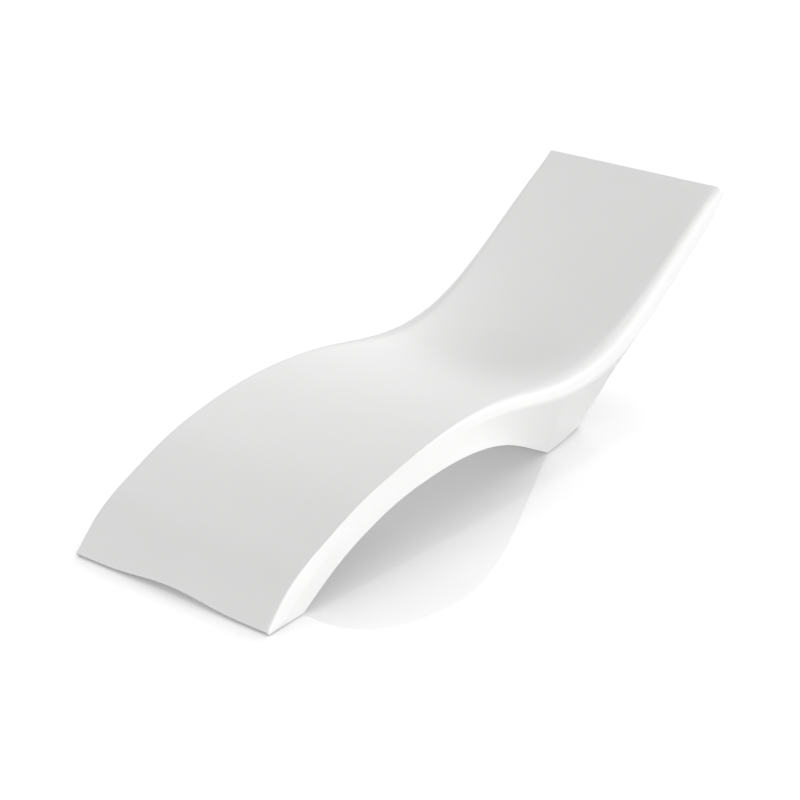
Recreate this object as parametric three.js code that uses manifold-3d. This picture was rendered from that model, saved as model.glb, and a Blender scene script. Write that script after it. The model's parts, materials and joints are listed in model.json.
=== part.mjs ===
// In-pool sun lounger: one hollow, rotationally moulded polyethylene body that is filled with water where it
// stands, with a fill cap, two drain plugs and four rubber pads screwed into the soles.
// Millimetres, +Z up. X runs from the foot edge to the head, Y across, and Z is measured from the floor.
// The sitter's left side is -Y. Places along the body are measured from its foot edge, and the whole is centred
// at the end. It is about 1.9 m long.
import * as THREE from "three";
import { mergeVertices } from "three/addons/utils/BufferGeometryUtils.js";
import Module from "manifold-3d";

const wasm = await Module();
wasm.setup();

// Widths
const footWidth = 640;
const backTopWidth = 590;

// Lying surface, along the middle of the side rims
const toeHeight = 8; // blunt front edge above the sole
const kneePlace = 762;
const kneeHeight = 296;
const seatPlace = 1145;
const seatHeight = 263;
const backTopPlace = 1875;
const backTopHeight = 618;
const shinShares = [
  [0.097, 0.27],
  [0.239, 0.494],
  [0.406, 0.699],
  [0.589, 0.847],
  [0.789, 0.956],
]; // of the knee's place and height
const thighShares = [
  [0.439, 0.3],
  [0.726, 0.757],
]; // of the way from knee to seat, and of the drop between them
const backShares = [
  [0.199, 0.051],
  [0.349, 0.163],
  [0.486, 0.313],
  [0.623, 0.493],
  [0.76, 0.685],
]; // of the way from seat to back top, and of the rise between them

// Underside: front sole, arch under the knees, rear sole, straight rear face
const frontSoleLength = 136;
const archPeakPlace = 715;
const archHeight = 196;
const rearSolePlace = 1236;
const heelPlace = 1452;
const headEdgeReach = 33; // the rear face's upper corner lies this far behind the back's top edge
const headEdgeDrop = 23; // and this far below it
const archFrontShares = [
  [0.193, 0.397],
  [0.388, 0.674],
  [0.582, 0.86],
  [0.775, 0.958],
]; // of the way from front sole to arch peak, and of the arch height
const archRearShares = [
  [0.173, 0.955],
  [0.38, 0.805],
  [0.588, 0.567],
  [0.793, 0.286],
]; // of the way from arch peak to rear sole, and of the drop
const backRearPlace = backTopPlace + headEdgeReach;
const backRearHeight = backTopHeight - headEdgeDrop;
const topOverFrontSoleShare = 0.085; // where the lying surface faces the sole's end, of the knee's place
const topOverRearSoleShare = 0.98; // and the rear sole's front edge, of the seat's place
const topOverHeelShare = 0.26; // and the heel, of the way from seat to back top

// Cross-section
const wall = 5;
const toeRim = 9; // the rolled rim along the sides turns down over this width
const kneeRim = 11;
const seatRim = 46;
const lumbarRim = 28;
const backTopRim = 20;
const toeRimDepth = 9; // and over this depth
const kneeRimDepth = 11;
const seatRimDepth = 11;
const lumbarRimDepth = 32;
const backTopRimDepth = 24;
const lumbarPlaceShare = 0.55; // of the way from seat to back top
const shinPlaceShare = 0.5; // of the knee's place
const shinDish = 11; // how far the middle lies below the rims
const kneeDish = 17;
const seatDish = 31;
const lumbarDish = 17;
const rimBand = 28; // upright strip under the rolled rim
const creaseStep = 3; // the side face lies this far in under the strip
const rearSoleInset = 112; // each side of the rear pedestal lies in at the floor
const heelInset = 138;
const backRearInset = 10; // and the rear face's upper corners
const frontSoleInset = 11;
const rearCornerRadius = 34; // between the pedestal's sides and the rear face
const backCornerRadius = 12;
const archCornerRadius = 2;
const headEdgeRound = 5;
const leastCavity = 20; // the hollow ends where it would be thinner than this
const rimDepthShare = 0.4; // most of the depth that the rolled rim takes near the foot edge
const bandDepthShare = 0.7; // and the rim with its strip
const cornerDepthShare = 0.2; // and the lower corner

// Water passage under the foot edge
const passageHeight = 20;
const passageWidth = 410;
const passageReach = 40; // past the front sole, into the arch
const passageSpreadShare = 4; // of the wall: the hollow stays clear of the passage's flat sides by this
const passageSteps = 12;

// Rubber pads in the soles, and their screws and inserts
const padLength = 60;
const padWidth = 90;
const padThickness = 7;
const padProud = 2; // below the sole
const padCorner = 12;
const frontPadReach = 51; // of a front pad's middle from the front sole's end
const frontPadEdge = 62; // and from the side
const rearPadEdge = 88; // of a rear pad's middle from the heel's side
const frontPadPlace = frontSoleLength - frontPadReach;
const frontPadSide = footWidth / 2 - frontPadEdge;
const rearPadSide = footWidth / 2 - heelInset - rearPadEdge;
const padScrewSpacing = 54;
const padGrooveWidth = 3;
const padGrooveDepth = 1.2;
const padGrooveSpacing = 12;
const screwRadius = 3;
const screwHeadRadius = 5.5;
const screwHeadHeight = 2.6;
const screwHeadDepth = 1; // of the head's outer face above the pad's underside
const screwLength = 14; // under the head
const socketWidth = 4;
const socketDepth = 1.6;
const insertWidth = 9; // across the hexagon's flats
const insertLength = 13;
const bossRadius = 10;

// Clearances
const seatGap = 0.3; // between pieces that touch
const threadGap = 0.45; // radial, between a closure's shank and its bush
const openGap = 4; // round a closure's flange in its recess
const overrun = 10; // of cutting shapes past what they cut

// Closures: a bush moulded in, a rubber ring and a screwed closure, in a recess
const fillPort = {
  recessDepth: 9,
  bushRadius: 26,
  bushCollar: 3,
  bushLength: 28,
  boreRadius: 18.5,
  ringThickness: 2.4,
  ringOuter: 25,
  ringInner: 20,
  flangeRadius: 29,
  flangeThickness: 5,
  shankLength: 16,
  gripWidth: 8,
  gripDepth: 13,
  gripRadius: 14.5,
};
const drainPort = {
  recessDepth: 6.5,
  bushRadius: 16,
  bushCollar: 2.5,
  bushLength: 20,
  boreRadius: 10,
  ringThickness: 2,
  ringOuter: 14.5,
  ringInner: 11,
  flangeRadius: 16.5,
  flangeThickness: 3.2,
  shankLength: 11,
  slotWidth: 3,
  slotDepth: 2,
};
const fillPortDrop = 155; // from the back's top edge, down the rear face
const rearDrainRise = 60; // from the heel, up the rear face
const frontDrainReach = 42; // into the arch from the front sole's end
const frontDrainEdge = 75; // from the side
const frontDrainPlace = frontSoleLength + frontDrainReach;
const frontDrainSide = footWidth / 2 - frontDrainEdge;

// Fineness of the round forms
const stationCounts = { toe: 3, arch: 20, sole: 3, back: 12 };
const outerCounts = { top: 5, roll: 3, side: 2, corner: 2, bottom: 2 };
const innerCounts = { top: 4, roll: 1, side: 2, corner: 1, bottom: 1 };
const portSegments = 24;
const smallSegments = 12;
const hexagonSides = 6;
const padCornerSegments = 3;
const mergeDistance = 1e-4;
const backSpacingPower = 1.25; // the back's stations lie closer together near the heel

const polyethylene = new THREE.MeshStandardMaterial({ color: 0xf2f2f0, roughness: 0.42, metalness: 0 });
const closurePlastic = new THREE.MeshStandardMaterial({ color: 0xe9e9e6, roughness: 0.38, metalness: 0 });
const bushPlastic = new THREE.MeshStandardMaterial({ color: 0xd9dad8, roughness: 0.5, metalness: 0 });
const padRubber = new THREE.MeshStandardMaterial({ color: 0x4a4c4e, roughness: 0.85, metalness: 0 });
const sealRubber = new THREE.MeshStandardMaterial({ color: 0x232425, roughness: 0.7, metalness: 0 });
const stainless = new THREE.MeshStandardMaterial({ color: 0xc4c7ca, roughness: 0.3, metalness: 1 });
const brass = new THREE.MeshStandardMaterial({ color: 0xb5934f, roughness: 0.35, metalness: 1 });

const lounger = new THREE.Group();
lounger.name = "lounger";

// Solids
function solidOf(geometry, matrix = new THREE.Matrix4()) {
  const bare = geometry.clone().applyMatrix4(matrix);
  bare.deleteAttribute("normal");
  bare.deleteAttribute("uv");
  const merged = mergeVertices(bare, mergeDistance);
  return new wasm.Manifold(
    new wasm.Mesh({
      numProp: 3,
      vertProperties: new Float32Array(merged.attributes.position.array),
      triVerts: new Uint32Array(merged.index.array),
    }),
  );
}

function geometryOf(solid) {
  const mesh = solid.getMesh();
  const geometry = new THREE.BufferGeometry();
  geometry.setAttribute("position", new THREE.BufferAttribute(new Float32Array(mesh.vertProperties), 3));
  geometry.setIndex(new THREE.BufferAttribute(new Uint32Array(mesh.triVerts), 1));
  geometry.computeVertexNormals();
  return geometry;
}

function place(parent, name, solid, material) {
  const mesh = new THREE.Mesh(geometryOf(solid), material);
  mesh.name = name;
  parent.add(mesh);
  return mesh;
}

function cylinder(radius, low, high, segments = portSegments) {
  const geometry = new THREE.CylinderGeometry(radius, radius, high - low, segments);
  geometry.rotateX(Math.PI / 2);
  return geometry.translate(0, 0, (low + high) / 2);
}

function hexagonRadius(acrossFlats) {
  return acrossFlats / 2 / Math.cos(Math.PI / hexagonSides);
}

function turned(profile, segments = portSegments) {
  const points = profile.map(([radius, height]) => new THREE.Vector2(radius, height));
  return new THREE.LatheGeometry(points, segments).rotateX(Math.PI / 2);
}

// Profile of the body in the X Z plane
function smoothThrough(points) {
  const places = points.map(([x]) => x);
  const heights = points.map(([, z]) => z);
  const curve = new THREE.CubicInterpolant(places, heights, 1, new Float64Array(1));
  return (x) => curve.evaluate(x)[0];
}

function between(from, to, share) {
  return from + (to - from) * share;
}

const soleHeight = padProud;
const topHeightAt = smoothThrough([
  [0, soleHeight + toeHeight],
  ...shinShares.map(([along, up]) => [kneePlace * along, between(soleHeight + toeHeight, kneeHeight, up)]),
  [kneePlace, kneeHeight],
  ...thighShares.map(([along, down]) => [
    between(kneePlace, seatPlace, along),
    between(kneeHeight, seatHeight, down),
  ]),
  [seatPlace, seatHeight],
  ...backShares.map(([along, up]) => [
    between(seatPlace, backTopPlace, along),
    between(seatHeight, backTopHeight, up),
  ]),
  [backTopPlace, backTopHeight],
]);
const archHeightAt = smoothThrough([
  [frontSoleLength, soleHeight],
  ...archFrontShares.map(([along, up]) => [
    between(frontSoleLength, archPeakPlace, along),
    between(soleHeight, archHeight, up),
  ]),
  [archPeakPlace, archHeight],
  ...archRearShares.map(([along, left]) => [
    between(archPeakPlace, rearSolePlace, along),
    between(soleHeight, archHeight, left),
  ]),
  [rearSolePlace, soleHeight],
]);

const lumbarPlace = between(seatPlace, backTopPlace, lumbarPlaceShare);
const rimAt = smoothThrough([
  [0, toeRim],
  [kneePlace, kneeRim],
  [seatPlace, seatRim],
  [lumbarPlace, lumbarRim],
  [backTopPlace, backTopRim],
]);
const rimDepthAt = smoothThrough([
  [0, toeRimDepth],
  [kneePlace, kneeRimDepth],
  [seatPlace, seatRimDepth],
  [lumbarPlace, lumbarRimDepth],
  [backTopPlace, backTopRimDepth],
]);
const dishAt = smoothThrough([
  [0, 0],
  [kneePlace * shinPlaceShare, shinDish],
  [kneePlace, kneeDish],
  [seatPlace, seatDish],
  [lumbarPlace, lumbarDish],
  [backTopPlace, 0],
]);

// Stations pair a point of the lying surface with the one that it faces on the underside.
function stationRun(steps, topFrom, topTo, bottomAt, sizesAt, withLast) {
  const run = [];
  for (let i = 0; i < steps + (withLast ? 1 : 0); i++) {
    const share = i / steps;
    const topPlace = between(topFrom, topTo, share);
    const bottom = bottomAt(share);
    run.push({
      top: new THREE.Vector2(topPlace, topHeightAt(topPlace)),
      bottom,
      half: between(footWidth, backTopWidth, topPlace / backTopPlace) / 2,
      rim: rimAt(topPlace),
      rimDepth: rimDepthAt(topPlace),
      dish: dishAt(topPlace),
      ...sizesAt(share, bottom),
    });
  }
  return run;
}

// How far the side is drawn in over the arch: all of the inset at the sole, none at the arch's peak.
function archInset(inset, height) {
  return (inset * (archHeight - height)) / (archHeight - soleHeight);
}

function bodyStations() {
  const topOverFrontSole = kneePlace * topOverFrontSoleShare;
  const topOverRearSole = seatPlace * topOverRearSoleShare;
  const topOverHeel = between(seatPlace, backTopPlace, topOverHeelShare);
  const toe = stationRun(
    stationCounts.toe,
    0,
    topOverFrontSole,
    (share) => new THREE.Vector2(between(toeHeight / 2, frontSoleLength, share), soleHeight),
    (share) => ({ inset: frontSoleInset * share, corner: archCornerRadius, crease: 0 }),
  );
  const arch = stationRun(
    stationCounts.arch,
    topOverFrontSole,
    topOverRearSole,
    (share) => {
      const x = between(frontSoleLength, rearSolePlace, share);
      return new THREE.Vector2(x, archHeightAt(x));
    },
    (share, bottom) => {
      const inset = bottom.x < archPeakPlace ? frontSoleInset : rearSoleInset;
      const crease = creaseStep * Math.min(1, Math.max(0, 2 * share - 1));
      return {
        inset: archInset(inset, bottom.y) + crease,
        corner: archCornerRadius,
        crease,
      };
    },
  );
  const sole = stationRun(
    stationCounts.sole,
    topOverRearSole,
    topOverHeel,
    (share) => new THREE.Vector2(between(rearSolePlace, heelPlace, share), soleHeight),
    (share) => ({
      inset: between(rearSoleInset, heelInset, share ** 2),
      corner: between(archCornerRadius, rearCornerRadius, share),
      crease: creaseStep,
    }),
  );
  const back = stationRun(
    stationCounts.back,
    topOverHeel,
    backTopPlace,
    (share) =>
      new THREE.Vector2(
        between(heelPlace, backRearPlace, share ** backSpacingPower),
        between(soleHeight, backRearHeight, share ** backSpacingPower),
      ),
    (share) => ({
      inset: between(heelInset, backRearInset, share ** backSpacingPower) + creaseStep * (1 - share),
      corner: between(rearCornerRadius, backCornerRadius, share),
      crease: creaseStep * (1 - share),
    }),
    true,
  );
  return [...toe, ...arch, ...sole, ...back];
}

// The head edge is rounded by one short station that is drawn in all round.
function withHeadEdge(stations) {
  const last = stations[stations.length - 1];
  const before = stations[stations.length - 2];
  const along = last.top.clone().sub(before.top);
  const share = 1 - headEdgeRound / along.length();
  const shoulder = {
    ...last,
    top: before.top.clone().lerp(last.top, share),
    bottom: before.bottom.clone().lerp(last.bottom, share),
  };
  const across = last.bottom.clone().sub(last.top).normalize().multiplyScalar(headEdgeRound);
  const edge = {
    ...last,
    top: last.top.clone().add(across),
    bottom: last.bottom.clone().sub(across),
    half: last.half - headEdgeRound,
    rim: last.rim - headEdgeRound,
    rimDepth: last.rimDepth - headEdgeRound,
  };
  return [...stations.slice(0, -1), shoulder, edge];
}

// A line of points moved into the body by a distance, square to the line, with mitred corners.
function movedIn(points, distance, side) {
  return points.map((point, i) => {
    const normals = [
      [points[i - 1], point],
      [point, points[i + 1]],
    ]
      .filter(([a, b]) => a && b)
      .map(([a, b]) => new THREE.Vector2(b.y - a.y, a.x - b.x).normalize().multiplyScalar(side));
    const sum = normals.reduce((total, n) => total.clone().add(n), new THREE.Vector2());
    const scale = normals.length === 2 ? 1 + normals[0].dot(normals[1]) : 1;
    return point.clone().add(sum.multiplyScalar(distance / scale));
  });
}

function cavityStations(stations) {
  const tops = movedIn(stations.map((s) => s.top), wall, 1);
  const bottoms = movedIn(stations.map((s) => s.bottom), wall, -1);
  const moved = stations.map((s, i) => ({
    ...s,
    top: tops[i],
    bottom: bottoms[i],
    half: s.half - wall,
    rim: Math.max(s.rim - wall, wall / 2),
    rimDepth: Math.max(s.rimDepth - wall, wall / 2),
    corner: Math.max(s.corner - wall, wall / 2),
  }));
  const depthOf = (s, i) => {
    const across = stations[i].bottom.clone().sub(stations[i].top);
    return s.bottom.clone().sub(s.top).dot(across.normalize());
  };
  const roomy = moved.filter((s, i) => depthOf(s, i) > leastCavity);
  const last = roomy[roomy.length - 1];
  const before = roomy[roomy.length - 2];
  const share = 1 - wall / last.top.distanceTo(before.top);
  last.top = before.top.clone().lerp(last.top, share);
  last.bottom = before.bottom.clone().lerp(last.bottom, share);
  return roomy;
}

// Half of a station's outline, from the middle of the lying surface round the side to the middle of the
// underside, as distances across and down.
function halfOutline(station, counts) {
  const depth = station.top.distanceTo(station.bottom);
  const rimDepth = Math.min(station.rimDepth, rimDepthShare * depth);
  const corner = Math.min(station.corner, cornerDepthShare * depth);
  const band = Math.min(rimDepth + rimBand, bandDepthShare * depth);
  const { half, rim, dish, inset, crease } = station;
  const flat = half - rim;
  const outline = [];
  for (let i = 0; i <= counts.top; i++) {
    const share = i / counts.top;
    outline.push([flat * share, dish * (1 - share ** 2)]);
  }
  for (let i = 1; i <= counts.roll; i++) {
    const turn = ((i / counts.roll) * Math.PI) / 2;
    outline.push([flat + rim * Math.sin(turn), rimDepth * (1 - Math.cos(turn))]);
  }
  outline.push([half, band]);
  for (let i = 1; i <= counts.side; i++) {
    const share = i / counts.side;
    const across = between(half - crease, half - inset, share);
    outline.push([across, between(band + crease, depth - corner, share)]);
  }
  const soleHalf = half - inset;
  for (let i = 1; i <= counts.corner; i++) {
    const turn = ((i / counts.corner) * Math.PI) / 2;
    outline.push([soleHalf - corner * (1 - Math.cos(turn)), depth - corner * (1 - Math.sin(turn))]);
  }
  for (let i = counts.bottom - 1; i >= 0; i--) {
    outline.push([(soleHalf - corner) * (i / counts.bottom), depth]);
  }
  return outline;
}

function ringOf(station, counts) {
  const half = halfOutline(station, counts);
  const other = half
    .slice(1, -1)
    .reverse()
    .map(([across, down]) => [-across, down]);
  return [...half, ...other];
}

function loft(stations, counts) {
  const outlines = stations.map((station) => ringOf(station, counts));
  const size = outlines[0].length;
  const positions = [];
  stations.forEach((station, k) => {
    const down = station.bottom.clone().sub(station.top).normalize();
    outlines[k].forEach(([across, depth]) => {
      positions.push(station.top.x + down.x * depth, across, station.top.y + down.y * depth);
    });
  });
  const index = [];
  for (let k = 0; k < stations.length - 1; k++) {
    for (let i = 0; i < size; i++) {
      const a = k * size + i;
      const b = k * size + ((i + 1) % size);
      index.push(a, a + size, b, b, a + size, b + size);
    }
  }
  const ends = [
    [0, true],
    [stations.length - 1, false],
  ];
  ends.forEach(([k, turnedRound]) => {
    const contour = outlines[k].map(([across, depth]) => new THREE.Vector2(across, -depth));
    THREE.ShapeUtils.triangulateShape(contour, []).forEach((face) => {
      const corners = turnedRound ? [...face].reverse() : face;
      index.push(...corners.map((i) => k * size + i));
    });
  });
  const geometry = new THREE.BufferGeometry();
  geometry.setAttribute("position", new THREE.Float32BufferAttribute(positions, 3));
  geometry.setIndex(index);
  return geometry;
}

// The passage lets water under the foot edge: a bell-shaped cut that runs back into the arch.
function passage(width, height, length) {
  const outline = new THREE.Shape();
  outline.moveTo(-width / 2, -overrun);
  outline.lineTo(width / 2, -overrun);
  for (let i = passageSteps; i >= 0; i--) {
    const share = (2 * i) / passageSteps - 1;
    outline.lineTo((share * width) / 2, soleHeight + height * Math.cos((share * Math.PI) / 2) ** 2);
  }
  const geometry = new THREE.ExtrudeGeometry(outline, { depth: length, bevelEnabled: false });
  const turn = new THREE.Matrix4().makeBasis(
    new THREE.Vector3(0, 1, 0),
    new THREE.Vector3(0, 0, 1),
    new THREE.Vector3(1, 0, 0),
  );
  return geometry.applyMatrix4(turn).translate(-overrun, 0, 0);
}

// A rounded block on its underside's centre, from low to high.
function roundedBlock(length, width, corner, low, high) {
  const shape = new THREE.Shape();
  const x = length / 2;
  const y = width / 2;
  shape.moveTo(-x + corner, -y);
  shape.lineTo(x - corner, -y);
  shape.absarc(x - corner, -y + corner, corner, -Math.PI / 2, 0);
  shape.lineTo(x, y - corner);
  shape.absarc(x - corner, y - corner, corner, 0, Math.PI / 2);
  shape.lineTo(-x + corner, y);
  shape.absarc(-x + corner, y - corner, corner, Math.PI / 2, Math.PI);
  shape.lineTo(-x, -y + corner);
  shape.absarc(-x + corner, -y + corner, corner, Math.PI, 1.5 * Math.PI);
  const geometry = new THREE.ExtrudeGeometry(shape, {
    depth: high - low,
    bevelEnabled: false,
    curveSegments: padCornerSegments,
  });
  return geometry.translate(0, 0, low);
}

const rearPadPlace = (rearSolePlace + heelPlace) / 2;
const pads = [
  { name: "front_left", x: frontPadPlace, y: -frontPadSide },
  { name: "front_right", x: frontPadPlace, y: frontPadSide },
  { name: "rear_left", x: rearPadPlace, y: -rearPadSide },
  { name: "rear_right", x: rearPadPlace, y: rearPadSide },
];
const padRoof = padThickness + seatGap; // floor to the recess roof
const screwSides = [
  { name: "inner", toward: -1 },
  { name: "outer", toward: 1 },
];

function screwPlaces(pad) {
  return screwSides.map(({ name, toward }) => ({
    name,
    x: 0,
    y: (toward * Math.sign(pad.y) * padScrewSpacing) / 2,
  }));
}

// Where each closure sits: a point on the outer face, and the way that it comes out.
const rearFace = new THREE.Vector2(backRearPlace - heelPlace, backRearHeight - soleHeight);
const rearFaceOut = new THREE.Vector3(rearFace.y, 0, -rearFace.x).normalize();
function onRearFace(distance) {
  const along = rearFace.clone().normalize().multiplyScalar(distance);
  return new THREE.Vector3(heelPlace + along.x, 0, soleHeight + along.y);
}
const archSlope =
  (archHeightAt(frontDrainPlace + overrun) - archHeightAt(frontDrainPlace - overrun)) / (2 * overrun);
const closures = [
  {
    name: "fill",
    sizes: fillPort,
    at: onRearFace(rearFace.length() - fillPortDrop),
    out: rearFaceOut,
  },
  {
    name: "rear_drain",
    sizes: drainPort,
    at: onRearFace(rearDrainRise),
    out: rearFaceOut,
  },
  {
    name: "front_drain",
    sizes: drainPort,
    at: new THREE.Vector3(frontDrainPlace, frontDrainSide, archHeightAt(frontDrainPlace)),
    out: new THREE.Vector3(archSlope, 0, -1).normalize(),
  },
];

function closureMatrix({ at, out }) {
  const turn = new THREE.Quaternion().setFromUnitVectors(new THREE.Vector3(0, 0, 1), out);
  return new THREE.Matrix4().compose(at, turn, new THREE.Vector3(1, 1, 1));
}

// Outline of a bush with its holding collar, grown by a gap, from its outer face inwards.
function bushProfile({ recessDepth, bushRadius, bushCollar, bushLength, boreRadius }, gap, bore) {
  const face = -recessDepth;
  const end = face - bushLength;
  const collarLow = face - bushLength / 2 - bushCollar / 2;
  const collarHigh = face - bushLength / 2 + bushCollar / 2;
  const inside = bore ? boreRadius : 0;
  return [
    [inside, end - gap],
    [bushRadius + gap, end - gap],
    [bushRadius + gap, collarLow - gap],
    [bushRadius + bushCollar + gap, collarLow - gap],
    [bushRadius + bushCollar + gap, collarHigh + gap],
    [bushRadius + gap, collarHigh + gap],
    [bushRadius + gap, face + gap],
    [inside, face + gap],
    ...(bore ? [[inside, end - gap]] : []),
  ];
}

// Body shell
function bodyShell() {
  const stations = withHeadEdge(bodyStations());
  const passageLength = overrun + frontSoleLength + passageReach;
  let outer = solidOf(loft(stations, outerCounts));
  let cavity = solidOf(loft(cavityStations(stations), innerCounts));
  outer = outer.subtract(solidOf(passage(passageWidth, passageHeight, passageLength)));
  const clearWidth = passageWidth + passageSpreadShare * wall;
  cavity = cavity.subtract(solidOf(passage(clearWidth, passageHeight + wall, passageLength + wall)));
  for (const pad of pads) {
    const spot = new THREE.Matrix4().makeTranslation(pad.x, pad.y, 0);
    const recess = roundedBlock(
      padLength + 2 * seatGap,
      padWidth + 2 * seatGap,
      padCorner + seatGap,
      -overrun,
      padRoof,
    );
    const recessWall = roundedBlock(
      padLength + 2 * wall,
      padWidth + 2 * wall,
      padCorner + wall,
      -overrun,
      padRoof + wall,
    );
    outer = outer.subtract(solidOf(recess, spot));
    cavity = cavity.subtract(solidOf(recessWall, spot));
    for (const screw of screwPlaces(pad)) {
      const hole = new THREE.Matrix4().makeTranslation(pad.x + screw.x, pad.y + screw.y, 0);
      const holeTop = padRoof + insertLength + seatGap;
      const boss = cylinder(bossRadius, padRoof, holeTop + wall, smallSegments);
      const bore = cylinder(hexagonRadius(insertWidth + 2 * seatGap), padRoof - overrun, holeTop, hexagonSides);
      cavity = cavity.subtract(solidOf(boss, hole));
      outer = outer.subtract(solidOf(bore, hole));
    }
  }
  for (const closure of closures) {
    const matrix = closureMatrix(closure);
    const { recessDepth, flangeRadius, bushRadius, bushCollar, bushLength } = closure.sizes;
    const recessRadius = flangeRadius + openGap;
    const recess = cylinder(recessRadius, -recessDepth, overrun);
    const recessWall = cylinder(recessRadius + wall, -recessDepth - wall, overrun);
    const boss = cylinder(bushRadius + bushCollar + wall, -recessDepth - bushLength, overrun);
    const bushHole = turned(bushProfile(closure.sizes, seatGap, false));
    outer = outer.subtract(solidOf(recess, matrix)).subtract(solidOf(bushHole, matrix));
    cavity = cavity.subtract(solidOf(recessWall, matrix)).subtract(solidOf(boss, matrix));
  }
  return outer.subtract(cavity);
}

const shell = bodyShell();
const shellBox = shell.boundingBox();
lounger.position.x = -(shellBox.min[0] + shellBox.max[0]) / 2;
place(lounger, "body_shell", shell, polyethylene);

// Closures
function closureGroup(closure) {
  const group = new THREE.Group();
  group.applyMatrix4(closureMatrix(closure));
  lounger.add(group);
  return group;
}

function bushSolid(sizes) {
  return solidOf(turned(bushProfile(sizes, 0, true)));
}

function ringSolid({ recessDepth, ringThickness, ringOuter, ringInner }) {
  const low = -recessDepth + seatGap;
  const high = low + ringThickness;
  const profile = [
    [ringInner, low],
    [ringOuter, low],
    [ringOuter, high],
    [ringInner, high],
    [ringInner, low],
  ];
  return solidOf(turned(profile));
}

function closureSolid({ recessDepth, ringThickness, boreRadius, flangeRadius, flangeThickness, shankLength }) {
  const seat = -recessDepth + ringThickness + 2 * seatGap;
  const end = seat - ringThickness - shankLength;
  const shank = boreRadius - threadGap;
  const lead = shank / 8;
  const edge = flangeThickness / 4;
  const profile = [
    [0, end],
    [shank - lead, end],
    [shank, end + lead],
    [shank, seat],
    [flangeRadius, seat],
    [flangeRadius, seat + flangeThickness - edge],
    [flangeRadius - edge, seat + flangeThickness],
    [0, seat + flangeThickness],
  ];
  return { body: solidOf(turned(profile)), face: seat + flangeThickness };
}

// The fill cap is turned by a bar left between two finger pockets.
function fillCap(sizes) {
  const { body, face } = closureSolid(sizes);
  const pocket = solidOf(cylinder(sizes.gripRadius, face - sizes.gripDepth, face + overrun));
  const bar = new THREE.BoxGeometry(sizes.gripWidth, 2 * sizes.flangeRadius, 2 * sizes.gripDepth);
  return body.subtract(pocket.subtract(solidOf(bar.translate(0, 0, face - sizes.gripDepth))));
}

// A drain plug is turned by a coin in a slot.
function drainPlug(sizes) {
  const { body, face } = closureSolid(sizes);
  const slot = new THREE.BoxGeometry(sizes.slotWidth, 3 * sizes.flangeRadius, 2 * sizes.slotDepth);
  return body.subtract(solidOf(slot.translate(0, 0, face)));
}

for (const closure of closures) {
  const group = closureGroup(closure);
  const isFill = closure.name === "fill";
  const turnedPiece = isFill ? fillCap(closure.sizes) : drainPlug(closure.sizes);
  place(group, `${closure.name}_bushing`, bushSolid(closure.sizes), bushPlastic);
  place(group, `${closure.name}_${isFill ? "gasket" : "oring"}`, ringSolid(closure.sizes), sealRubber);
  place(group, `${closure.name}_${isFill ? "cap" : "plug"}`, turnedPiece, closurePlastic);
}

// Foot pads
const screwSeat = screwHeadDepth + screwHeadHeight; // floor to the face under the head

function padSolid(pad) {
  let solid = solidOf(roundedBlock(padLength, padWidth, padCorner, 0, padThickness));
  for (const screw of screwPlaces(pad)) {
    const spot = new THREE.Matrix4().makeTranslation(screw.x, screw.y, 0);
    const headRoom = cylinder(screwHeadRadius + seatGap, -overrun, screwSeat + seatGap, smallSegments);
    const shankRoom = cylinder(screwRadius + seatGap, -overrun, padThickness + overrun, smallSegments);
    solid = solid.subtract(solidOf(headRoom, spot)).subtract(solidOf(shankRoom, spot));
  }
  for (const side of [-1, 0, 1]) {
    const groove = new THREE.BoxGeometry(padGrooveWidth, padScrewSpacing / 2, 2 * padGrooveDepth);
    solid = solid.subtract(solidOf(groove.translate(side * padGrooveSpacing, 0, 0)));
  }
  return solid;
}

function padScrew() {
  const end = screwSeat + screwLength;
  const profile = [
    [0, screwHeadDepth],
    [screwHeadRadius, screwHeadDepth],
    [screwHeadRadius, screwSeat],
    [screwRadius, screwSeat],
    [screwRadius, end],
    [0, end],
  ];
  const socketTop = screwHeadDepth + socketDepth;
  const socket = cylinder(hexagonRadius(socketWidth), screwHeadDepth - overrun, socketTop, hexagonSides);
  return solidOf(turned(profile, smallSegments)).subtract(solidOf(socket));
}

function padInsert() {
  const high = padRoof + insertLength;
  const block = cylinder(hexagonRadius(insertWidth), padRoof, high, hexagonSides);
  const bore = cylinder(screwRadius + seatGap, padRoof - overrun, high + overrun, smallSegments);
  return solidOf(block).subtract(solidOf(bore));
}

for (const pad of pads) {
  const group = new THREE.Group();
  group.position.set(pad.x, pad.y, 0);
  lounger.add(group);
  place(group, `foot_pad_${pad.name}`, padSolid(pad), padRubber);
  for (const screw of screwPlaces(pad)) {
    const fixing = new THREE.Group();
    fixing.position.set(screw.x, screw.y, 0);
    group.add(fixing);
    place(fixing, `pad_screw_${pad.name}_${screw.name}`, padScrew(), stainless);
    place(fixing, `pad_insert_${pad.name}_${screw.name}`, padInsert(), brass);
  }
}

export default lounger;
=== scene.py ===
# In-pool sun lounger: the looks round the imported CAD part. Metres, +X from the foot edge to the head, +Z up.
import json
import math

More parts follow.
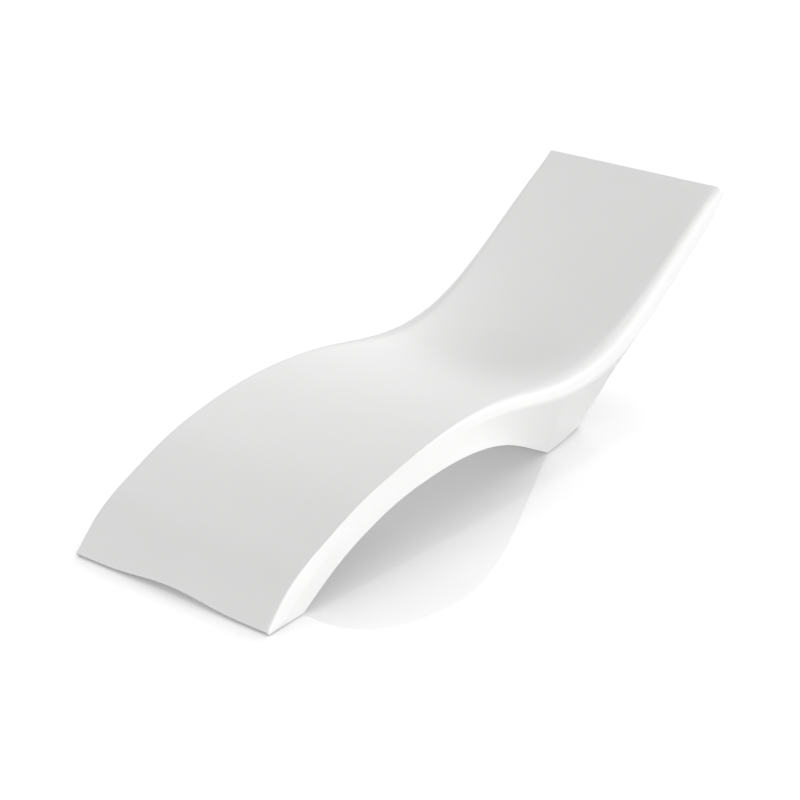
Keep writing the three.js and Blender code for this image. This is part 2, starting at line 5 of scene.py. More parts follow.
import bmesh
import bpy
import numpy as np
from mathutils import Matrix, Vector


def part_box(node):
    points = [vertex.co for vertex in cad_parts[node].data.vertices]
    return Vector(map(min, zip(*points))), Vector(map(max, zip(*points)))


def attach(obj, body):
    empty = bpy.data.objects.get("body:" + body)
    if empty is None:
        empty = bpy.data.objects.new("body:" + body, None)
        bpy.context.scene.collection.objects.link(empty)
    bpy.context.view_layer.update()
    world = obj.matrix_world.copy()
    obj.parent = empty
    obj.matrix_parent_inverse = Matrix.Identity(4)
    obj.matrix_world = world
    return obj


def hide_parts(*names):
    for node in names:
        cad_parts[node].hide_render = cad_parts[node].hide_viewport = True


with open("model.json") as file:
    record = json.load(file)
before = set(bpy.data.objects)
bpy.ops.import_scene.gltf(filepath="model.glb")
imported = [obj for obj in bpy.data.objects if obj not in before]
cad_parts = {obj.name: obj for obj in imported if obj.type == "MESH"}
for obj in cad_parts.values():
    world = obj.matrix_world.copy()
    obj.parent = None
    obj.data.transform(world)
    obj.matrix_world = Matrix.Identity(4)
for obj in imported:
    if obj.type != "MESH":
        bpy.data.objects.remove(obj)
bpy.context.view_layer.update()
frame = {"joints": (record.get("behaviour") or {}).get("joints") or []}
scene = bpy.context.scene

# Camera: stands left of the foot edge, looks up the lounger and a little down
# on it. Its place and lens were solved from the outline in the photograph.
camera_place = (-4.2123, -3.4431, 2.4369)
camera_yaw = math.radians(39.97)
camera_pitch = math.radians(22.4)
camera_lens = 101.33
camera_sensor_width = 36
camera_reach = 200
bpy.ops.object.camera_add(
    location=camera_place, rotation=(math.pi / 2 - camera_pitch, 0, camera_yaw - math.pi / 2)
)
camera = bpy.context.object
camera.data.lens = camera_lens
camera.data.sensor_width = camera_sensor_width
camera.data.clip_end = camera_reach
scene.camera = camera
scene.view_settings.view_transform = "Standard"

# Studio floor: a very large pale sheet with a light gloss, so that it keeps the contact shadow and gives the
# faint reflection.
# To the camera alone it glows a little, so that it is white in the open. Ambient occlusion turns that glow
# down near and under the lounger, a painted shade on the floor that is darkest deep under the arch.
floor_size = 60
floor_colour = (0.4, 0.4, 0.4, 1)
floor_bounce_colour = (0.2, 0.2, 0.2, 1)
floor_roughness = 0.05
floor_gloss_ior = 1.7
floor_glow_colour = (1, 1, 1, 1)
floor_glow = 0.64
# Painted shade: the floor's glow falls to this level where ambient occlusion within this reach finds the
# lounger.
floor_glow_in_painted_shade = 0.28
floor_painted_shade_reach = 0.3
bpy.ops.mesh.primitive_plane_add(size=floor_size, location=(0, 0, 0))
floor = bpy.context.object
floor.name = "studio_floor"
floor_finish = bpy.data.materials.new("studio_floor_finish")
floor_finish.use_nodes = True
floor_nodes = floor_finish.node_tree.nodes
floor_links = floor_finish.node_tree.links
floor_shader = floor_nodes["Principled BSDF"]
floor_shader.inputs["Roughness"].default_value = floor_roughness
floor_shader.inputs["IOR"].default_value = floor_gloss_ior
floor_shader.inputs["Emission Color"].default_value = floor_glow_colour
floor_rays = floor_nodes.new("ShaderNodeLightPath")
floor_shade = floor_nodes.new("ShaderNodeMix")
floor_shade.data_type = "RGBA"
floor_shade.inputs[6].default_value = floor_bounce_colour
floor_shade.inputs[7].default_value = floor_colour
floor_links.new(floor_rays.outputs["Is Camera Ray"], floor_shade.inputs[0])
floor_links.new(floor_shade.outputs[2], floor_shader.inputs["Base Color"])
# Painted shade: ambient occlusion dims the floor's glow near and under the lounger.
floor_painted_shade = floor_nodes.new("ShaderNodeAmbientOcclusion")
floor_painted_shade.inputs["Distance"].default_value = floor_painted_shade_reach
floor_level = floor_nodes.new("ShaderNodeMapRange")
floor_level.inputs["To Min"].default_value = floor_glow_in_painted_shade
floor_level.inputs["To Max"].default_value = floor_glow
floor_links.new(floor_painted_shade.outputs["AO"], floor_level.inputs["Value"])
floor_lift = floor_nodes.new("ShaderNodeMath")
floor_lift.operation = "MULTIPLY"
floor_links.new(floor_rays.outputs["Is Camera Ray"], floor_lift.inputs[0])
floor_links.new(floor_level.outputs["Result"], floor_lift.inputs[1])
floor_links.new(floor_lift.outputs["Value"], floor_shader.inputs["Emission Strength"])
floor.data.materials.append(floor_finish)


# Lounger body: one hollow moulding of white polyethylene with a satin skin. It
# is moulded in a turning oven from powder, with the arch, the soles, the passage
# under the foot edge and the recesses of all the fittings formed in its wall.
body_centre = 0.951949  # of the foot edge from the middle of the length
foot_width = 0.640
back_top_width = 0.590
pad_proud = 0.002
toe_height = 0.008
knee_place = 0.762
knee_height = 0.296
seat_place = 1.145
seat_height = 0.263
back_top_place = 1.875
back_top_height = 0.618
shin_shares = ((0.097, 0.270), (0.239, 0.494), (0.406, 0.699), (0.589, 0.847), (0.789, 0.956))
thigh_shares = ((0.439, 0.3), (0.726, 0.757))
back_shares = ((0.199, 0.051), (0.349, 0.163), (0.486, 0.313), (0.623, 0.493), (0.76, 0.685))
front_sole_length = 0.136
arch_peak_place = 0.715
arch_height = 0.196
rear_sole_place = 1.236
heel_place = 1.452
back_rear_place = back_top_place + 0.033
back_rear_height = back_top_height - 0.023
arch_front_shares = ((0.193, 0.397), (0.388, 0.674), (0.582, 0.860), (0.775, 0.958))
arch_rear_shares = ((0.173, 0.955), (0.38, 0.805), (0.588, 0.567), (0.793, 0.286))
top_over_front_sole = knee_place * 0.085
top_over_rear_sole = seat_place * 0.98
top_over_heel = seat_place + (back_top_place - seat_place) * 0.26
lumbar_place = seat_place + (back_top_place - seat_place) * 0.55
shin_place = knee_place / 2
rim_across = (
    (0, 0.009),
    (knee_place, 0.011),
    (seat_place, 0.046),
    (lumbar_place, 0.028),
    (back_top_place, 0.020),
)
rim_down = (
    (0, 0.009),
    (knee_place, 0.011),
    (seat_place, 0.011),
    (lumbar_place, 0.032),
    (back_top_place, 0.024),
)
dish_depths = (
    (0, 0),
    (shin_place, 0.011),
    (knee_place, 0.017),
    (seat_place, 0.031),
    (lumbar_place, 0.017),
    (back_top_place, 0),
)
rim_band = 0.028
crease_step = 0.003
rear_sole_inset = 0.112
heel_inset = 0.138
back_rear_inset = 0.010
front_sole_inset = 0.011
rear_corner_radius = 0.034
back_corner_radius = 0.012
arch_corner_radius = 0.002
passage_height = 0.0135
passage_width = 0.440
edge_setback_share = 0.65


def between(low, high, share):
    return low + (high - low) * share


def smooth_through(points):
    """A natural cubic spline through points, as a function of the first number of each."""
    x = np.array([p[0] for p in points], float)
    z = np.array([p[1] for p in points], float)
    step = np.diff(x)
    chord = np.diff(z) / step
    system = np.eye(len(x))
    bend = np.zeros(len(x))
    for i in range(1, len(x) - 1):
        system[i, i - 1 : i + 2] = step[i - 1], 2 * (step[i - 1] + step[i]), step[i]
        bend[i] = 6 * (chord[i] - chord[i - 1])
    bend = np.linalg.solve(system, bend)

    def height(place):
        i = int(np.clip(np.searchsorted(x, place) - 1, 0, len(step) - 1))
        a, b = x[i + 1] - place, place - x[i]
        return (
            (bend[i] * a**3 + bend[i + 1] * b**3) / (6 * step[i])
            + (z[i] / step[i] - bend[i] * step[i] / 6) * a
            + (z[i + 1] / step[i] - bend[i + 1] * step[i] / 6) * b
        )

    return height


def spaced(start, end, shares):
    """Points of a stretch from the shares of its length and of its rise that it has covered."""
    return [(between(start[0], end[0], a), between(start[1], end[1], u)) for a, u in shares]


sole_height = pad_proud
toe_top = (0, sole_height + toe_height)
knee = (knee_place, knee_height)
seat = (seat_place, seat_height)
back_top = (back_top_place, back_top_height)
top_height_at = smooth_through(
    [toe_top, *spaced(toe_top, knee, shin_shares)]
    + [knee, *spaced(knee, seat, thigh_shares)]
    + [seat, *spaced(seat, back_top, back_shares)]
    + [back_top]
)
arch_front = (front_sole_length, sole_height)
arch_peak = (arch_peak_place, arch_height)
arch_rear = (rear_sole_place, sole_height)
arch_fall = [(a, 1 - left) for a, left in arch_rear_shares]
arch_height_at = smooth_through(
    [arch_front, *spaced(arch_front, arch_peak, arch_front_shares)]
    + [arch_peak, *spaced(arch_peak, arch_rear, arch_fall)]
    + [arch_rear]
)
rim_across_at = smooth_through(rim_across)
rim_down_at = smooth_through(rim_down)
dish_depth_at = smooth_through(dish_depths)


def flare_inset(inset, height, full_height):
    """How far the side is drawn in at a height: all of the inset at the sole, none at the full height."""
    return inset * (full_height - height) / (full_height - sole_height)


def station(top_place, bottom, inset, corner, crease):
    """One section of the body, from a point of the lying surface to the one it faces on the underside."""
    return {
        "top": Vector((top_place, top_height_at(top_place))),
        "bottom": Vector(bottom),
        "half": between(foot_width, back_top_width, top_place / back_top_place) / 2,
        "rim": (rim_across_at(top_place), rim_down_at(top_place)),
        "dish": dish_depth_at(top_place),
        "inset": inset,
        "corner": corner,
        "crease": crease,
    }


# Stations lie close together where an edge is crisp.
toe_shares = (0.045, 0.1, 0.18, 0.3, 0.5, 0.75, 0.95)
arch_steps = 32
arch_shares = (0, 0.008, *(i / arch_steps for i in range(1, arch_steps)), 0.992)
sole_shares = (0, 0.03, 0.2, 0.4, 0.6, 0.8, 0.95, 0.985)
back_steps = 20
back_shares_along = (0, 0.012, 0.04, *(i / back_steps for i in range(2, back_steps)), 0.98)
back_easing = 1.25
stations = []
for share in toe_shares:
    bottom = (between(toe_height / 2, front_sole_length, share), sole_height)
    inset = front_sole_inset * share
    stations.append(station(top_over_front_sole * share, bottom, inset, arch_corner_radius, 0))
for share in arch_shares:
    x = between(front_sole_length, rear_sole_place, share)
    z = arch_height_at(x)
    inset = front_sole_inset if x < arch_peak_place else rear_sole_inset
    crease = crease_step * min(1, max(0, 2 * share - 1))
    top_place = between(top_over_front_sole, top_over_rear_sole, share)
    inset = flare_inset(inset, z, arch_height) + crease
    stations.append(station(top_place, (x, z), inset, arch_corner_radius, crease))
for share in sole_shares:
    top_place = between(top_over_rear_sole, top_over_heel, share)
    bottom = (between(rear_sole_place, heel_place, share), sole_height)
    inset = between(rear_sole_inset, heel_inset, (share + share**2) / 2)
    corner = between(arch_corner_radius, rear_corner_radius, share)
    stations.append(station(top_place, bottom, inset, corner, crease_step))
for share in back_shares_along:
    top_place = between(top_over_heel, back_top_place, share)
    eased = share**back_easing
    bottom = (between(heel_place, back_rear_place, eased), between(sole_height, back_rear_height, eased))
    crease = crease_step * (1 - share)
    inset = between(heel_inset, back_rear_inset, eased) + crease
    corner = between(rear_corner_radius, back_corner_radius, share)
    stations.append(station(top_place, bottom, inset, corner, crease))

least_round = 0.0005
edge_turns = 2


def end_rings(end, before, radius, inner):
    """Stations that round an end off: drawn in along an arc of this radius, then flat across the end."""
    across = (end["bottom"] - end["top"]).normalized()
    rings = []
    for i in range(edge_turns + 1):
        turn = i / edge_turns * math.pi / 2
        rings.append((radius * (1 - math.sin(turn)), radius * (1 - math.cos(turn))))
    rings += [(0, drawn) for drawn in inner]
    made = []
    for back, drawn in rings:
        ring = dict(end)
        for key, side in (("top", 1), ("bottom", -1)):
            along = before[key] - end[key]
            ring[key] = end[key] + along.normalized() * back + across * drawn * side
        ring["half"] = end["half"] - drawn
        ring["rim"] = [max(rim - drawn, least_round) for rim in end["rim"]]
        ring["corner"] = max(end["corner"] - drawn, least_round)
        made.append(ring)
    return made


head_edge_round = 0.005
head_edge_back = 0.0021
head_face_rings = (0.009,)
toe_edge_round = 0.0025
head = station(back_top_place, (back_rear_place, back_rear_height), back_rear_inset, back_corner_radius, 0)
toe = station(0, (toe_height / 2, sole_height), 0, arch_corner_radius, 0)
head_draw = (stations[-1]["top"] - head["top"]).normalized() * head_edge_back
head["top"] += head_draw
head["bottom"] += head_draw
stations += end_rings(head, stations[-1], head_edge_round, head_face_rings)
stations = end_rings(toe, stations[0], toe_edge_round, ())[::-1] + stations

# Half of a section's outline. In a thin section, shares of its depth limit the roll, the band and the corner.
top_shares = (0, 0.15, 0.3, 0.45, 0.6, 0.74, 0.86, 0.94)
side_shares = (0.04, 0.35, 0.7, 0.97)
bottom_shares = (0.93, 0.8, 0.66, 0.52, 0.39, 0.26, 0.13, 0)
roll_steps = 5
corner_steps = 3
roll_most = 0.4
band_most = 0.7
corner_most = 0.2
crease_least = 0.04
band_support = 0.85


def half_outline(s):
    """Across and down, from the middle of the lying surface round the side to the middle of the underside."""
    depth = (s["bottom"] - s["top"]).length
    roll_across, roll_down = s["rim"][0], min(s["rim"][1], roll_most * depth)
    corner = min(s["corner"], corner_most * depth)
    band = min(roll_down + rim_band, band_most * depth)
    half, crease, inset = s["half"], s["crease"], s["inset"]
    flat = half - roll_across
    outline = [(flat * t, s["dish"] * (1 - t**2)) for t in top_shares]
    for i in range(roll_steps + 1):
        turn = i / roll_steps * math.pi / 2
        outline.append((flat + roll_across * math.sin(turn), roll_down * (1 - math.cos(turn))))
    face_top = band + max(crease, crease_least * depth)
    outline.append((half, between(roll_down, band, band_support)))
    outline.append((half, band))
    outline.append((half - crease, face_top))
    for share in side_shares:
        across = between(half - crease, half - inset, share)
        outline.append((across, between(face_top, depth - corner, share)))
    sole_half = half - inset
    for i in range(1, corner_steps + 1):
        turn = i / corner_steps * math.pi / 2
        outline.append((sole_half - corner * (1 - math.cos(turn)), depth - corner * (1 - math.sin(turn))))
    for share in bottom_shares:
        outline.append(((sole_half - corner) * share, depth))
    return outline


def bell(y):
    """Height of the passage's roof over the sole."""
    return passage_height * math.cos(min(abs(y) / passage_width, 0.5) * math.pi) ** 2


# Rows of the cage: all of half an outline, the first on the underside, and the one within the rim's roll up
# to which the closed ends are bridged.
rows = len(half_outline(stations[0]))
under = rows - len(bottom_shares) - 1
rim_row = len(top_shares) + roll_steps - 2
mirror_gap = 0.0001
merge_gap = 0.000002


def select_nothing():
    if bpy.context.mode != "OBJECT":
        bpy.ops.object.mode_set(mode="OBJECT")
    bpy.ops.object.select_all(action="DESELECT")


def select_only(piece):
    select_nothing()
    bpy.context.view_layer.objects.active = piece
    piece.select_set(True)


def edit(piece, kind="VERT"):
    """Opens a piece in edit mode with nothing of it selected, and gives its mesh."""
    select_only(piece)
    bpy.ops.object.mode_set(mode="EDIT")
    bpy.ops.mesh.select_mode(type=kind)
    bpy.ops.mesh.select_all(action="DESELECT")
    mesh = bmesh.from_edit_mesh(piece.data)
    mesh.verts.ensure_lookup_table()
    return mesh


def move_vertex(vertex, place):
    vertex.select = True
    bpy.ops.transform.translate(value=Vector(place) - vertex.co)
    vertex.select = False


def apply_modifier(piece, kind, **settings):
    """Adds a modifier with these settings and applies it."""
    select_only(piece)
    modifier = piece.modifiers.new(kind.lower(), kind)
    for name, value in settings.items():
        setattr(modifier, name, value)
    bpy.ops.object.modifier_apply(modifier=modifier.name)


def lofted(name, sections, wall):
    """A closed form through the sections, with the outline of each drawn in by a wall."""
    select_nothing()
    bpy.ops.mesh.primitive_grid_add(x_subdivisions=len(sections) - 1, y_subdivisions=rows - 1, size=1)
    piece = bpy.context.object
    piece.name = name
    cage = edit(piece)
    for k, s in enumerate(sections):
        depth_here = (s["bottom"] - s["top"]).length
        down = (s["bottom"] - s["top"]).normalized()
        for row, (across, depth) in enumerate(half_outline(s)):
            across *= 1 - wall / (s["half"] - s["inset"])
            x, z = s["top"] + down * (wall + depth * (1 - 2 * wall / depth_here))
            if x < front_sole_length:
                setback = bell(across) * edge_setback_share * (1 - x / front_sole_length)
                z += bell(across) if row >= under else top_height_at(x + setback) - top_height_at(x)
                x += setback
            elif row >= under and x < arch_peak_place:
                z = max(z, sole_height + bell(across) + wall)
            move_vertex(cage.verts[row * len(sections) + k], (x - body_centre, -across, z))
    # The two ends are closed between the rows of the lying surface and those of the underside, and with one
    # face at the rolled rim.
    for k in (0, len(sections) - 1):
        cage = edit(piece, "EDGE")
        for side in cage.edges:
            (row, place), (next_row, next_place) = sorted(divmod(v.index, len(sections)) for v in side.verts)
            chained = next_row <= rim_row or row >= rows - 1 - rim_row
            side.select_set(place == next_place == k and chained)
        bpy.ops.mesh.bridge_edge_loops()
        cage = edit(piece)
        for row in range(rim_row, rows - rim_row):
            cage.verts[row * len(sections) + k].select = True
        bpy.ops.mesh.edge_face_add()
    apply_modifier(piece, "MIRROR", use_axis=(False, True, False), use_clip=True, merge_threshold=mirror_gap)
    return piece


def face_outwards(piece):
    edit(piece)
    bpy.ops.mesh.select_all(action="SELECT")
    bpy.ops.mesh.remove_doubles(threshold=merge_gap)
    bpy.ops.mesh.normals_make_consistent(inside=False)
    select_nothing()


def turned(name, outline, steps=48):
    """A closed outline of radii and heights in millimetres, spun round the Z axis."""
    select_nothing()
    bpy.ops.mesh.primitive_circle_add(vertices=len(outline), radius=1)
    piece = bpy.context.object
    piece.name = name
    loop = edit(piece)
    for vertex, (radius, height) in zip(loop.verts, outline):
        move_vertex(vertex, (radius / 1000, 0, height / 1000))
    bpy.ops.mesh.select_all(action="SELECT")
    bpy.ops.mesh.spin(steps=steps, angle=2 * math.pi, center=(0, 0, 0), axis=(0, 0, 1))
    face_outwards(piece)
    return piece


corner_segments = 6
edge_segments = 3
level_gap = 0.00001


def block(name, size, middle, corner=0, edge=0):
    """A block of a size round its middle in millimetres, with round corners in plan and round edges below."""
    select_nothing()
    place, scale = [v / 1000 for v in middle], [v / 1000 for v in size]
    bpy.ops.mesh.primitive_cube_add(size=1, location=place, scale=scale)
    piece = bpy.context.object
    piece.name = name
    bpy.ops.object.transform_apply(location=True, rotation=True, scale=True)
    if corner:
        shape = edit(piece, "EDGE")
        for side in shape.edges:
            a, b = side.verts
            side.select = abs(a.co.z - b.co.z) > level_gap
        bpy.ops.mesh.bevel(offset=corner / 1000, segments=corner_segments, affect="EDGES")
    if edge:
        shape = edit(piece, "EDGE")
        lowest = min(v.co.z for v in shape.verts)
        for side in shape.edges:
            side.select = all(v.co.z < lowest + level_gap for v in side.verts)
        bpy.ops.mesh.bevel(offset=edge / 1000, segments=edge_segments, affect="EDGES")
    face_outwards(piece)
    return piece


def cut(piece, tool, operation="DIFFERENCE"):
    """Cuts a piece with a tool, or joins the two, and takes the tool away."""
    apply_modifier(piece, "BOOLEAN", object=tool, operation=operation, solver="MANIFOLD")
    bpy.data.objects.remove(tool)


upwards = Vector((0, 0, 1))


def put(piece, place, out=upwards):
    """Turns a piece's upward axis in the XZ plane to face out, moves it and leaves the change in its mesh."""
    select_only(piece)
    piece.rotation_euler = (0, math.atan2(out.x, out.z), 0)
    piece.location = place
    bpy.ops.object.transform_apply(location=True, rotation=True, scale=True)
    return piece


# Where the fittings sit: a closure on its own axis, a pad under its sole and two screws in each pad.
ports = {
    joint["name"].removesuffix("_turn"): (Vector(joint["pos_m"]), Vector(joint["axis"]))
    for joint in frame["joints"]
    if joint["name"].endswith("_turn")
}
pad_names = ("front_left", "front_right", "rear_left", "rear_right")
pad_middles = []
for name in pad_names:
    low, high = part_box(f"foot_pad_{name}")
    middle = (Vector(low) + Vector(high)) / 2
    pad_middles.append(Vector((middle.x, middle.y, 0)))
screw_spacing = 0.054
screw_places = {
    f"{name}_{side}": middle + Vector((0, math.copysign(screw_spacing / 2, middle.y) * toward, 0))
    for name, middle in zip(pad_names, pad_middles)
    for side, toward in (("inner", -1), ("outer", 1))
}
# Outlines of a closure's bed, in millimetres from the shell's outer face: the recess with its rounded mouth,
# the seat of the bush with the groove of its collar, and the wall of both inside the shell.
fill_bed = (
    (0, -37.3), (26.3, -37.3), (26.3, -24.8), (29.3, -24.8), (29.3, -21.2), (26.3, -21.2), (26.3, -9),
    (31, -9), (32.4, -8.4), (33, -7), (33, -2.5), (33.3, -1.4), (34, -0.6), (35.2, -0.1), (37, 0.3),
    (37, 8), (0, 8),
)
fill_boss = ((0, -37), (34, -37), (34, -14), (38, -14), (38, 12), (0, 12))
drain_bed = (
    (0, -26.8), (16.3, -26.8), (16.3, -18.05), (18.8, -18.05), (18.8, -14.95), (16.3, -14.95),
    (16.3, -6.5), (19, -6.5), (20.1, -6), (20.5, -5), (20.5, -2), (20.8, -1.1), (21.4, -0.5),
    (22.4, -0.1), (24, 0.3), (24, 8), (0, 8),
)
drain_boss = ((0, -26.5), (23.5, -26.5), (23.5, -11.5), (25.5, -11.5), (25.5, 12), (0, 12))
boss_steps = 32
# The same for a pad and for the hexagonal insert over each of its screws.
pad_boss = {"size": (70, 100, 32), "middle": (0, 0, -3.7), "corner": 17}
pad_bed = {"size": (60.6, 90.6, 27.3), "middle": (0, 0, -6.35), "corner": 12.3}
insert_boss = ((0, 0), (10, 0), (10, 25.6), (0, 25.6))
insert_boss_steps = 24
insert_bed = ((0, 0), (5.37, 0), (5.37, 20.6), (0, 20.6))
hexagon = 6

shell_wall = 0.005
hollow_starts = 7
hollow_ends = -6
skin_levels = 2
body = lofted("lounger_body", stations, wall=0)
apply_modifier(body, "SUBSURF", levels=skin_levels, render_levels=skin_levels)
face_outwards(body)
hollow = lofted("hollow", stations[hollow_starts:hollow_ends], shell_wall)
face_outwards(hollow)
for port, (place, out) in ports.items():
    is_fill = port == "fill"
    cut(hollow, put(turned("boss", fill_boss if is_fill else drain_boss, boss_steps), place, out))
    cut(body, put(turned("bed", fill_bed if is_fill else drain_bed), place, out))
for middle in pad_middles:
    cut(hollow, put(block("pad_boss", **pad_boss), middle))
    cut(body, put(block("pad_bed", **pad_bed), middle))
for place in screw_places.values():
    cut(hollow, put(turned("insert_boss", insert_boss, insert_boss_steps), place))
    cut(body, put(turned("insert_bed", insert_bed, hexagon), place))
cut(body, hollow)

patch_low = 0.3
patch_high = 0.7
grain_detail = 4


def finish(name, tints, roughness, patch, grain, relief, metallic=0):
    """A material whose colour and gloss drift over patches, with a fine grain. Sizes are in millimetres."""
    material = bpy.data.materials.new(name)
    material.use_nodes = True
    nodes, links = material.node_tree.nodes, material.node_tree.links
    shader = nodes["Principled BSDF"]
    shader.inputs["Metallic"].default_value = metallic
    place = nodes.new("ShaderNodeTexCoord")
    patches = nodes.new("ShaderNodeTexNoise")
    patches.inputs["Scale"].default_value = 1000 / patch
    tint = nodes.new("ShaderNodeMix")
    tint.data_type = "RGBA"
    tint.inputs[6].default_value = (*tints[0], 1)
    tint.inputs[7].default_value = (*tints[1], 1)
    gloss = nodes.new("ShaderNodeMapRange")
    gloss.inputs["From Min"].default_value = patch_low
    gloss.inputs["From Max"].default_value = patch_high
    gloss.inputs["To Min"].default_value = roughness[0]
    gloss.inputs["To Max"].default_value = roughness[1]
    skin = nodes.new("ShaderNodeTexNoise")
    skin.inputs["Scale"].default_value = 1000 / grain
    skin.inputs["Detail"].default_value = grain_detail
    bump = nodes.new("ShaderNodeBump")
    bump.inputs["Distance"].default_value = relief / 1000
    links.new(place.outputs["Object"], patches.inputs["Vector"])
    links.new(place.outputs["Object"], skin.inputs["Vector"])
    links.new(patches.outputs[0], tint.inputs[0])
    links.new(patches.outputs[0], gloss.inputs["Value"])
    links.new(tint.outputs[2], shader.inputs["Base Color"])
    links.new(gloss.outputs["Result"], shader.inputs["Roughness"])
    links.new(skin.outputs[0], bump.inputs["Height"])
    links.new(bump.outputs["Normal"], shader.inputs["Normal"])
    return material


body_gloss = 0.25
white_polyethylene = finish(
    "white_polyethylene",
    tints=((0.852, 0.852, 0.846), (0.868, 0.868, 0.864)),
    roughness=(0.38, 0.46),
    patch=90,
    grain=2.2,
    relief=0.05,
)
white_polyethylene.node_tree.nodes["Principled BSDF"].inputs["Specular IOR Level"].default_value = body_gloss
crisp_edge = math.radians(30)


def finished(piece, material, slot, body_name, *nodes):
    """Smooths a piece, gives it its material, hangs it on the empty of the body it rides on and hides the CAD
    parts it stands for.
    """
    select_only(piece)
    bpy.ops.object.shade_smooth_by_angle(angle=crisp_edge)
    piece.data.materials.clear()
    piece.data.materials.append(material)
    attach(piece, body_name)
    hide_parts(*nodes)


finished(body, white_polyethylene, "polyethylene", "root", "body_shell")

# Threaded bushes: pale nylon rings that the shell is moulded round. A collar holds
# each in the wall, and its bore has a coarse thread for the cap or the plug.
fill_bush = (
    (18.5, -36.2), (19.3, -37), (25.4, -37), (26, -36.4), (26, -24.5), (28.4, -24.5), (29, -23.9),
    (29, -22.1), (28.4, -21.5), (26, -21.5), (26, -9.6), (25.4, -9), (20.3, -9), (18.5, -10.8),
)
drain_bush = (
    (10, -25.9), (10.6, -26.5), (15.6, -26.5), (16, -26.1), (16, -17.75), (18.1, -17.75),
    (18.5, -17.35), (18.5, -15.65), (18.1, -15.25), (16, -15.25), (16, -6.9), (15.6, -6.5), (11, -6.5),
    (10, -7.5),
)
fitting_steps = 64
fill_groove = {"root": 18, "crest": 19.7, "pitch": 4, "low": -35.4, "turns": 6}
drain_groove = {"root": 9.7, "crest": 10.9, "pitch": 2, "low": -25.4, "turns": 9}
ridge_foot = (0, 0.8)
ridge_crest = (0.3, 0.5)


def thread(name, root, crest, pitch, low, turns, steps=32):
    """One helical ridge from its root's radius to its crest's, in millimetres, closed at both ends."""
    select_nothing()
    bpy.ops.mesh.primitive_circle_add(vertices=4, radius=1)
    ridge = bpy.context.object
    ridge.name = name
    loop = edit(ridge)
    section = ((root, ridge_foot[0]), (root, ridge_foot[1]), (crest, ridge_crest[1]), (crest, ridge_crest[0]))
    for vertex, (radius, share) in zip(loop.verts, section):
        move_vertex(vertex, (radius / 1000, 0, (low + pitch * share) / 1000))
    apply_modifier(
        ridge, "SCREW", axis="Z", screw_offset=pitch / 1000, iterations=turns, steps=steps, render_steps=steps
    )
    edit(ridge)
    bpy.ops.mesh.select_all(action="SELECT")
    bpy.ops.mesh.fill_holes(sides=len(section))
    face_outwards(ridge)
    return ridge


pale_nylon = finish(
    "pale_nylon",
    tints=((0.66, 0.67, 0.66), (0.72, 0.73, 0.73)),
    roughness=(0.42, 0.55),
    patch=14,
    grain=1.1,
    relief=0.04,
)
for port, spot in ports.items():
    is_fill = port == "fill"
    bush = turned(f"{port}_port_bush", fill_bush if is_fill else drain_bush, fitting_steps)
    cut(bush, thread("groove", **(fill_groove if is_fill else drain_groove)))
    put(bush, *spot)
    finished(bush, pale_nylon, "bush_plastic", "root", f"{port}_bushing")

# Seals: black rubber rings that the closures press on the bushes. The wide one of
# the fill port is flat with two raised lips, the drains' are rings pressed oval.
fill_seal = (
    (20, -8.7), (25, -8.7), (25, -6.8), (24.5, -6.6), (24.1, -6.3), (23.6, -6.3), (23.2, -6.7),
    (21.8, -6.7), (21.4, -6.3), (20.9, -6.3), (20.5, -6.6), (20, -6.8),
)
drain_seal_middle = (12.75, -5.2)
drain_seal_half = (1.75, 1)
drain_seal_points = 16
drain_seal = []
for i in range(drain_seal_points):
    turn = i / drain_seal_points * 2 * math.pi
    radius = drain_seal_middle[0] + drain_seal_half[0] * math.cos(turn)
    drain_seal.append((radius, drain_seal_middle[1] + drain_seal_half[1] * math.sin(turn)))
black_rubber = finish(
    "black_rubber",
    tints=((0.014, 0.015, 0.016), (0.022, 0.023, 0.024)),
    roughness=(0.55, 0.78),
    patch=6,
    grain=0.6,
    relief=0.02,
)
for port, spot in ports.items():
    is_fill = port == "fill"
    seal = put(turned(f"{port}_port_seal", fill_seal if is_fill else drain_seal, fitting_steps), *spot)
    finished(seal, black_rubber, "seal_rubber", f"{port}_seal", f"{port}_{'gasket' if is_fill else 'oring'}")

# Fill cap: a moulded screw cap in the shell's white. Fingers turn it by the bar
# left between two pockets, or by the flutes in its rim; its shank is cored out.
cap_outline = (
    (0, -1), (23.6, -1), (24.1, -1.5), (25.5, -1.5), (26, -1), (28.1, -1), (28.8, -1.4), (29, -2.1),
    (29, -5.4), (28.5, -6), (17.4, -6), (16.8, -6.6), (16.8, -23.5), (15.9, -24.4), (13.8, -24.4),
    (13.2, -23.8), (13, -17.6), (12.4, -17), (0, -17),
)
cap_steps = 96
cap_flute_every = 4
cap_flute_draw = 0.978
cap_rim_radius = 0.0284
cap_rim_heights = (-0.0057, -0.0012)
cap_pocket = (
    (0, -14), (12.6, -14), (13.9, -13.4), (14.5, -12), (14.5, -2.3), (14.8, -1.5), (15.6, -0.9),
    (17, -0.7), (17, 6), (0, 6),
)
grip_bar = {"size": (8, 60, 20), "middle": (0, 0, 11.4), "edge": 2}
cap_thread = {"root": 16.4, "crest": 18, "pitch": 4, "low": -23.4, "turns": 3}
cap = turned("fill_port_cap", cap_outline, cap_steps)
shape = edit(cap)
for vertex in shape.verts:
    angle = round(math.atan2(vertex.co.y, vertex.co.x) / (2 * math.pi) * cap_steps)
    at_rim = vertex.co.xy.length > cap_rim_radius and cap_rim_heights[0] < vertex.co.z < cap_rim_heights[1]
    vertex.select = at_rim and angle % cap_flute_every == 0
bpy.ops.transform.resize(value=(cap_flute_draw, cap_flute_draw, 1), center_override=(0, 0, 0))
pocket = turned("pocket", cap_pocket)
cut(pocket, put(block("grip", **grip_bar), (0, 0, 0), -upwards))
cut(cap, pocket)
